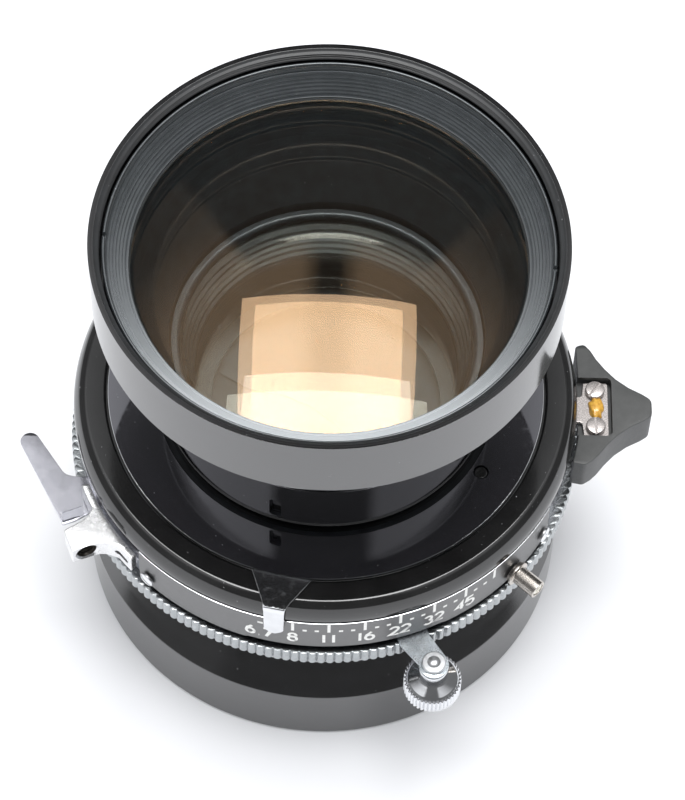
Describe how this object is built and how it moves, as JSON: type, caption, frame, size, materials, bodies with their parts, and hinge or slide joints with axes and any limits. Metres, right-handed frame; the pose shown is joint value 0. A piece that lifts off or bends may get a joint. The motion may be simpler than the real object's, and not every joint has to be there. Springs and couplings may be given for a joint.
{
  "type": "large-format lens in leaf shutter",
  "caption": "Large-format lens in a leaf shutter: flared front and rear glass cells, aperture scale and knob lever, knurled speed ring, cocking lever, release lever and sync socket.",
  "frame": {"origin": "where the optical axis meets the plane of the rear rim, on which the lens stands", "axes": "+Z along the optical axis towards the front glass, -Y towards the middle of the aperture scale, +X towards the cocking lever"},
  "size_m": [0.1267, 0.118, 0.1095],
  "materials": {
    "black_anodised": "gloss black anodised, fine turning lines",
    "black_enamel": "polished black",
    "scale_black": "satin black with white figures",
    "coated_glass": "polished, amber coating",
    "bright_chrome": "polished",
    "satin_chrome": "satin",
    "nickel": "plated, dulled",
    "steel": "satin",
    "blade_steel": "blackened, dull",
    "brass": "plain",
    "insulator": "matt white",
    "black_plastic": "fine-grained black"
  },
  "bodies": {
    "shutter": {"shutter_housing": "satin_chrome", "mounting_ring": "black_anodised", "front_cover": "black_enamel", "mechanism_plate": "steel", "blade_plate": "steel", "iris_stud_ring": "steel", "pinion_stud": "steel", "speed_ring_clip": "steel", "scale_strip": "scale_black", "scale_screw_left": "satin_chrome", "scale_screw_right": "satin_chrome", "sync_terminal": "nickel", "sync_insulator": "insulator", "sync_pin": "brass", "release_bracket": "bright_chrome", "front_barrel": "black_anodised", "front_retaining_ring": "black_anodised", "front_outer_element": "coated_glass", "front_inner_element": "coated_glass", "front_inner_lock_ring": "black_anodised", "rear_barrel": "black_anodised", "rear_retaining_ring": "black_anodised", "rear_outer_element": "coated_glass", "rear_inner_element": "coated_glass", "rear_inner_lock_ring": "black_anodised"},
    "aperture_lever": {"iris_cam_ring": "satin_chrome", "rack_post": "steel", "aperture_rack": "steel", "aperture_knob": "bright_chrome", "knob_rivet": "satin_chrome"},
    "pinion": {"reversing_pinion": "brass"},
    "pointer": {"pointer_gear": "brass", "pointer_sleeve": "brass", "pointer_disc": "black_enamel", "disc_screw_1": "black_enamel", "disc_screw_2": "black_enamel", "disc_screw_3": "black_enamel", "index_tab": "bright_chrome"},
    "iris_blade_1": {"iris_blade_1": "blade_steel"},
    "iris_blade_2": {"iris_blade_2": "blade_steel"},
    "iris_blade_3": {"iris_blade_3": "blade_steel"},
    "iris_blade_4": {"iris_blade_4": "blade_steel"},
    "iris_blade_5": {"iris_blade_5": "blade_steel"},
    "iris_blade_6": {"iris_blade_6": "blade_steel"},
    "iris_blade_7": {"iris_blade_7": "blade_steel"},
    "preview_lever": {"blade_ring": "satin_chrome"},
    "shutter_blade_1": {"shutter_blade_1": "blade_steel"},
    "shutter_blade_2": {"shutter_blade_2": "blade_steel"},
    "shutter_blade_3": {"shutter_blade_3": "blade_steel"},
    "shutter_blade_4": {"shutter_blade_4": "blade_steel"},
    "shutter_blade_5": {"shutter_blade_5": "blade_steel"},
    "speed_ring": {"speed_ring": "bright_chrome"},
    "cocking_lever": {"cocking_ring": "satin_chrome", "cocking_handle": "black_plastic", "handle_screw_1": "satin_chrome", "handle_screw_2": "satin_chrome"},
    "release_lever": {"release_lever": "satin_chrome"}
  },
  "joints": [
    {"name": "aperture_lever_turn", "type": "hinge", "parent": "shutter", "child": "aperture_lever", "pos_m": [0, 0, 0.04], "axis": [0, 0, 1], "range_deg": [-34.4, 2]},
    {"name": "pinion_turn", "type": "hinge", "parent": "shutter", "child": "pinion", "pos_m": [-0.03377, 0.0195, 0.04], "axis": [0, 0, 1], "range_deg": [-259, 16]},
    {"name": "pointer_turn", "type": "hinge", "parent": "shutter", "child": "pointer", "pos_m": [0, 0, 0.04], "axis": [0, 0, 1], "range_deg": [-3.5, 52.1]},
    {"name": "iris_blade_1_turn", "type": "hinge", "parent": "shutter", "child": "iris_blade_1", "pos_m": [0.0401, 0.00852, 0.04], "axis": [0, 0, 1], "range_deg": [-2.2, 31.5]},
    {"name": "iris_blade_2_turn", "type": "hinge", "parent": "shutter", "child": "iris_blade_2", "pos_m": [0.01834, 0.03667, 0.04], "axis": [0, 0, 1], "range_deg": [-2.2, 31.5]},
    {"name": "iris_blade_3_turn", "type": "hinge", "parent": "shutter", "child": "iris_blade_3", "pos_m": [-0.01723, 0.0372, 0.04], "axis": [0, 0, 1], "range_deg": [-2.2, 31.5]},
    {"name": "iris_blade_4_turn", "type": "hinge", "parent": "shutter", "child": "iris_blade_4", "pos_m": [-0.03983, 0.00972, 0.04], "axis": [0, 0, 1], "range_deg": [-2.2, 31.5]},
    {"name": "iris_blade_5_turn", "type": "hinge", "parent": "shutter", "child": "iris_blade_5", "pos_m": [-0.03243, -0.02508, 0.04], "axis": [0, 0, 1], "range_deg": [-2.2, 31.5]},
    {"name": "iris_blade_6_turn", "type": "hinge", "parent": "shutter", "child": "iris_blade_6", "pos_m": [-0.00061, -0.041, 0.04], "axis": [0, 0, 1], "range_deg": [-2.2, 31.5]},
    {"name": "iris_blade_7_turn", "type": "hinge", "parent": "shutter", "child": "iris_blade_7", "pos_m": [0.03167, -0.02604, 0.04], "axis": [0, 0, 1], "range_deg": [-2.2, 31.5]},
    {"name": "preview_lever_turn", "type": "hinge", "parent": "shutter", "child": "preview_lever", "pos_m": [0, 0, 0.04], "axis": [0, 0, 1], "range_deg": [0, 15]},
    {"name": "shutter_blade_1_turn", "type": "hinge", "parent": "shutter", "child": "shutter_blade_1", "pos_m": [0.03899, 0.01267, 0.04], "axis": [0, 0, 1], "range_deg": [-36.5, 0.5]},
    {"name": "shutter_blade_2_turn", "type": "hinge", "parent": "shutter", "child": "shutter_blade_2", "pos_m": [0, 0.041, 0.04], "axis": [0, 0, 1], "range_deg": [-36.5, 0.5]},
    {"name": "shutter_blade_3_turn", "type": "hinge", "parent": "shutter", "child": "shutter_blade_3", "pos_m": [-0.03899, 0.01267, 0.04], "axis": [0, 0, 1], "range_deg": [-36.5, 0.5]},
    {"name": "shutter_blade_4_turn", "type": "hinge", "parent": "shutter", "child": "shutter_blade_4", "pos_m": [-0.0241, -0.03317, 0.04], "axis": [0, 0, 1], "range_deg": [-36.5, 0.5]},
    {"name": "shutter_blade_5_turn", "type": "hinge", "parent": "shutter", "child": "shutter_blade_5", "pos_m": [0.0241, -0.03317, 0.04], "axis": [0, 0, 1], "range_deg": [-36.5, 0.5]},
    {"name": "speed_ring_turn", "type": "hinge", "parent": "shutter", "child": "speed_ring", "pos_m": [0, 0, 0.04], "axis": [0, 0, 1], "range_deg": [-60, 75]},
    {"name": "cocking_lever_turn", "type": "hinge", "parent": "shutter", "child": "cocking_lever", "pos_m": [0, 0, 0.04], "axis": [0, 0, 1], "range_deg": [0, 40], "stiffness_Nm_per_rad": 0.15},
    {"name": "release_lever_turn", "type": "hinge", "parent": "shutter", "child": "release_lever", "pos_m": [0, 0, 0.04], "axis": [0, 0, 1], "range_deg": [-6, 0], "stiffness_Nm_per_rad": 0.3}
  ],
  "couplings": [
    {"joint": "pinion_turn", "follows": "aperture_lever_turn", "ratio": 7.5},
    {"joint": "pointer_turn", "follows": "aperture_lever_turn", "ratio": -1.5},
    {"joint": "iris_blade_1_turn", "follows": "aperture_lever_turn", "ratio": -0.9},
    {"joint": "iris_blade_2_turn", "follows": "aperture_lever_turn", "ratio": -0.9},
    {"joint": "iris_blade_3_turn", "follows": "aperture_lever_turn", "ratio": -0.9},
    {"joint": "iris_blade_4_turn", "follows": "aperture_lever_turn", "ratio": -0.9},
    {"joint": "iris_blade_5_turn", "follows": "aperture_lever_turn", "ratio": -0.9},
    {"joint": "iris_blade_6_turn", "follows": "aperture_lever_turn", "ratio": -0.9},
    {"joint": "iris_blade_7_turn", "follows": "aperture_lever_turn", "ratio": -0.9},
    {"joint": "shutter_blade_1_turn", "follows": "preview_lever_turn", "ratio": -2.4},
    {"joint": "shutter_blade_2_turn", "follows": "preview_lever_turn", "ratio": -2.4},
    {"joint": "shutter_blade_3_turn", "follows": "preview_lever_turn", "ratio": -2.4},
    {"joint": "shutter_blade_4_turn", "follows": "preview_lever_turn", "ratio": -2.4},
    {"joint": "shutter_blade_5_turn", "follows": "preview_lever_turn", "ratio": -2.4}
  ]
}
